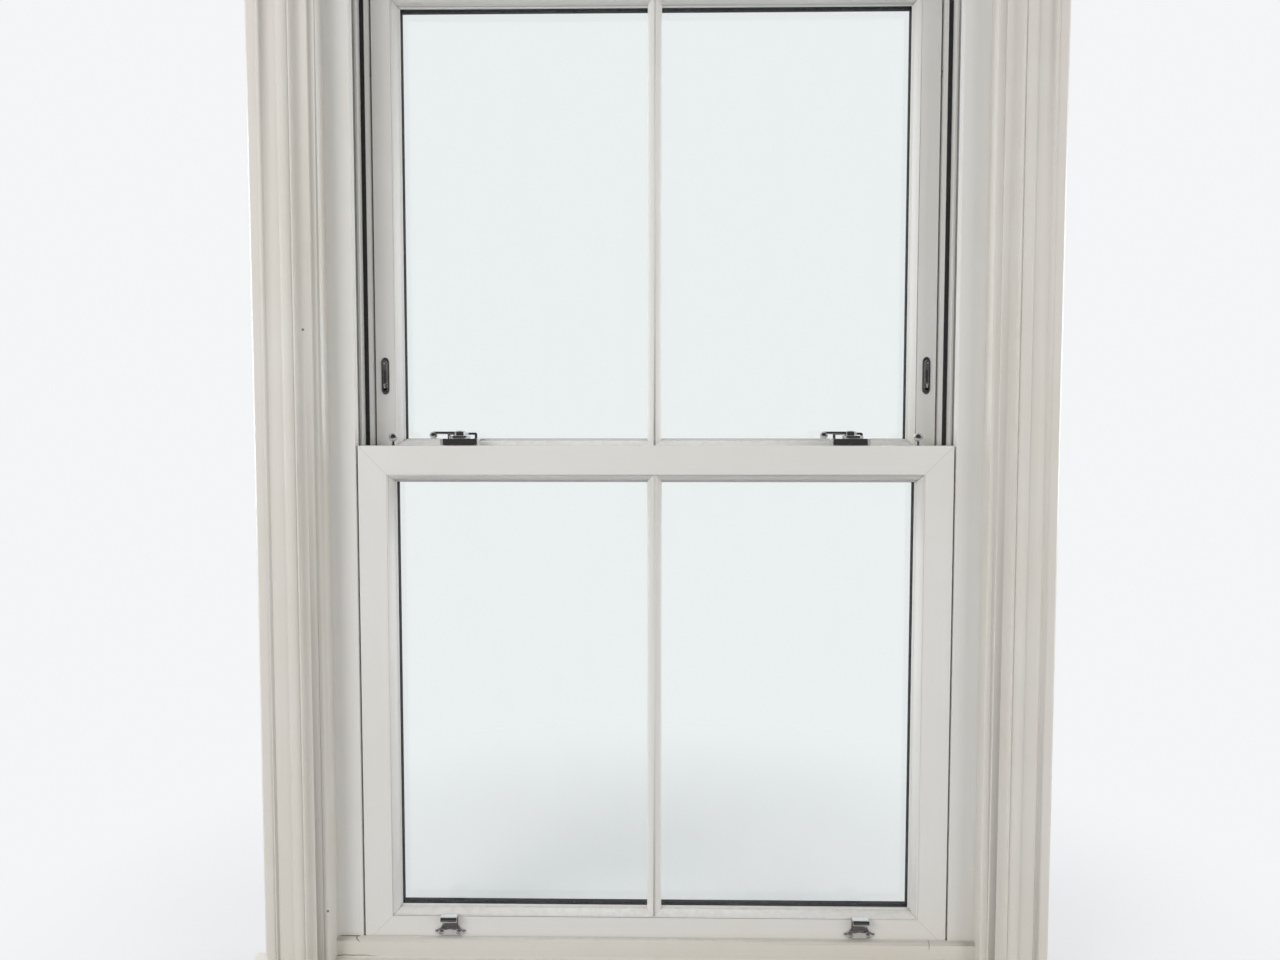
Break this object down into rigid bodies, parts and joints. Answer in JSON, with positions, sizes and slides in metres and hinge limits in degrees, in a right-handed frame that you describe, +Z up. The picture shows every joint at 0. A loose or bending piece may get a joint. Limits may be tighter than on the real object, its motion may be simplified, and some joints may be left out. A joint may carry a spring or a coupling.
{
  "type": "sash window",
  "caption": "White plastic vertical sliding sash window with glazing bars, cam catches, hook lifts, tilting lower sash and moulded timber architrave.",
  "frame": {"origin": "centre of the underside of the external sill, midway through the depth of the frame section", "axes": "+X to the right seen from the room, +Y from the room to the outside, +Z up"},
  "size_m": [1.224, 0.283, 1.724],
  "materials": {
    "frame_plastic": "smooth white, satin",
    "sash_plastic": "smooth white, satin",
    "bead_plastic": "smooth white, satin",
    "painted_timber": "white paint on moulded timber",
    "brush_pile": "woven pile",
    "black_rubber": "extruded black",
    "spacer_bar": "matt black",
    "clear_glass": "float glass, clear",
    "chrome": "polished plating",
    "zinc_steel": "zinc plated",
    "balance_tube": "drawn tube",
    "shoe_plastic": "moulded, dark grey"
  },
  "bodies": {
    "frame": {"frame_head": "frame_plastic", "frame_jamb_left": "frame_plastic", "frame_jamb_right": "frame_plastic", "frame_sill": "frame_plastic", "external_sill": "frame_plastic", "sill_end_caps": "frame_plastic", "architrave_left": "painted_timber", "architrave_right": "painted_timber", "architrave_head": "painted_timber", "window_board": "painted_timber", "cover_trim": "painted_timber", "brush_piles": "brush_pile", "sill_seal": "black_rubber", "lower_balance_tubes": "balance_tube", "upper_balance_tubes": "balance_tube"},
    "lower_rods": {"lower_balance_rods": "zinc_steel"},
    "lower_shoes": {"lower_shoes": "shoe_plastic"},
    "lower_sash": {"lower_bottom_rail": "sash_plastic", "lower_top_rail": "sash_plastic", "lower_stile_left": "sash_plastic", "lower_stile_right": "sash_plastic", "lower_beads": "bead_plastic", "lower_gaskets": "black_rubber", "lower_spacer": "spacer_bar", "lower_glass_panes": "clear_glass", "lower_glazing_bar_inner": "bead_plastic", "lower_glazing_bar_outer": "bead_plastic", "lower_pivot_bars": "zinc_steel", "lower_latch_trays": "shoe_plastic", "lower_latch_springs": "zinc_steel", "catch_base_left": "chrome", "catch_base_right": "chrome", "lift_hooks": "chrome"},
    "lower_bolt_left": {"lower_latch_bolt_left": "chrome"},
    "lower_bolt_right": {"lower_latch_bolt_right": "chrome"},
    "catch_left": {"catch_lever_left": "chrome"},
    "catch_right": {"catch_lever_right": "chrome"},
    "upper_sash": {"upper_bottom_rail": "sash_plastic", "upper_top_rail": "sash_plastic", "upper_stile_left": "sash_plastic", "upper_stile_right": "sash_plastic", "upper_beads": "bead_plastic", "upper_gaskets": "black_rubber", "upper_spacer": "spacer_bar", "upper_glass_panes": "clear_glass", "upper_glazing_bar_inner": "bead_plastic", "upper_glazing_bar_outer": "bead_plastic", "upper_pivot_bars": "zinc_steel", "upper_latch_trays": "shoe_plastic", "upper_latch_springs": "zinc_steel", "upper_balance_rods": "zinc_steel", "upper_shoes": "shoe_plastic", "catch_keeps": "chrome", "meeting_brush": "brush_pile", "restrictor_plates": "chrome"},
    "upper_bolt_left": {"upper_latch_bolt_left": "chrome"},
    "upper_bolt_right": {"upper_latch_bolt_right": "chrome"},
    "wedge_left": {"restrictor_wedge_left": "chrome"},
    "wedge_right": {"restrictor_wedge_right": "chrome"}
  },
  "joints": [
    {"name": "lower_slide", "type": "slide", "parent": "frame", "child": "lower_rods", "axis": [0, 0, 1], "range_m": [0, 0.6]},
    {"name": "lower_tilt_lift", "type": "slide", "parent": "lower_rods", "child": "lower_shoes", "axis": [0, 0, 1], "range_m": [0, 0.1]},
    {"name": "lower_tilt", "type": "hinge", "parent": "lower_shoes", "child": "lower_sash", "pos_m": [0, -0.043, 0.09], "axis": [1, 0, 0], "range_deg": [0, 90]},
    {"name": "catch_left_turn", "type": "hinge", "parent": "lower_sash", "child": "catch_left", "pos_m": [-0.298, -0.0335, 0.859], "axis": [0, 0, 1], "range_deg": [0, 170]},
    {"name": "catch_right_turn", "type": "hinge", "parent": "lower_sash", "child": "catch_right", "pos_m": [0.298, -0.0335, 0.859], "axis": [0, 0, 1], "range_deg": [0, 170]},
    {"name": "lower_bolt_left_draw", "type": "slide", "parent": "lower_sash", "child": "lower_bolt_left", "axis": [1, 0, 0], "range_m": [0, 0.01], "stiffness_N_per_m": 300, "springref_m": -0.01, "deforming": ["lower_latch_springs"]},
    {"name": "lower_bolt_right_draw", "type": "slide", "parent": "lower_sash", "child": "lower_bolt_right", "axis": [-1, 0, 0], "range_m": [0, 0.01], "stiffness_N_per_m": 300, "springref_m": -0.01, "deforming": ["lower_latch_springs"]},
    {"name": "upper_slide", "type": "slide", "parent": "frame", "child": "upper_sash", "axis": [0, 0, -1], "range_m": [0, 0.6]},
    {"name": "upper_bolt_left_draw", "type": "slide", "parent": "upper_sash", "child": "upper_bolt_left", "axis": [1, 0, 0], "range_m": [0, 0.01], "stiffness_N_per_m": 300, "springref_m": -0.01, "deforming": ["upper_latch_springs"]},
    {"name": "upper_bolt_right_draw", "type": "slide", "parent": "upper_sash", "child": "upper_bolt_right", "axis": [-1, 0, 0], "range_m": [0, 0.01], "stiffness_N_per_m": 300, "springref_m": -0.01, "deforming": ["upper_latch_springs"]},
    {"name": "wedge_left_swing", "type": "hinge", "parent": "upper_sash", "child": "wedge_left", "pos_m": [-0.41755, -0.0102, 0.9727], "axis": [-1, 0, 0], "range_deg": [0, 20]},
    {"name": "wedge_right_swing", "type": "hinge", "parent": "upper_sash", "child": "wedge_right", "pos_m": [0.41755, -0.0102, 0.9727], "axis": [-1, 0, 0], "range_deg": [0, 20]}
  ],
  "couplings": [
    {"joint": "lower_tilt_lift", "follows": "lower_tilt", "m_per_rad": 0.06366}
  ]
}
